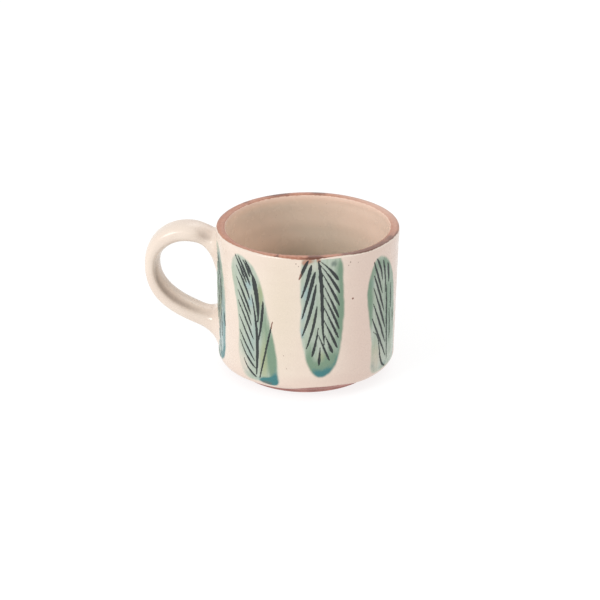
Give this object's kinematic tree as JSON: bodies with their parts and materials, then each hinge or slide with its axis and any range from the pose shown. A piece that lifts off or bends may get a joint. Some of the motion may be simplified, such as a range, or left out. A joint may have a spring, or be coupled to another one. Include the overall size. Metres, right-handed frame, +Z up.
{
  "type": "mug",
  "caption": "Round straight-sided stoneware mug with a rounded bottom corner, turned foot, ear-shaped pulled handle and tall feather leaves cut through cream slip.",
  "frame": {"origin": "centre of the foot's resting plane, on the mug's axis", "axes": "+Z up along the mug's axis; the handle stands out along -X; +Y completes the right-handed frame"},
  "size_m": [0.1191, 0.085, 0.0705],
  "materials": {
    "bare_clay": "matt, unglazed brown stoneware",
    "handle_clay": "matt brown stoneware under the glaze",
    "handle_cream": "glossy cream slip glaze",
    "joining_slip": "matt fired slip",
    "cream_coat": "glossy cream slip glaze with fine specks",
    "cup_glaze": "glossy tan-grey glaze",
    "lip_glaze": "satin terracotta where the slip is wiped off",
    "leaf_wash": "glossy grey-green and teal brushed colour",
    "cut_line": "glossy blue-black pooled in cut lines, brown at the ends"
  },
  "bodies": {
    "root": {"thrown_body": "bare_clay", "handle_strap": "handle_clay", "handle_glaze": "handle_cream", "lower_slip_joint": "joining_slip", "upper_slip_joint": "joining_slip", "outer_glaze": "cream_coat", "liner_glaze": "cup_glaze", "rim_band": "lip_glaze", "leaf_wash_1": "leaf_wash", "leaf_wash_2": "leaf_wash", "leaf_wash_3": "leaf_wash", "leaf_wash_4": "leaf_wash", "leaf_wash_5": "leaf_wash", "leaf_wash_6": "leaf_wash", "leaf_wash_7": "leaf_wash", "leaf_wash_8": "leaf_wash", "leaf_lines_1": "cut_line", "leaf_lines_2": "cut_line", "leaf_lines_3": "cut_line", "leaf_lines_4": "cut_line", "leaf_lines_5": "cut_line", "leaf_lines_6": "cut_line", "leaf_lines_7": "cut_line", "leaf_lines_8": "cut_line"}
  },
  "joints": []
}
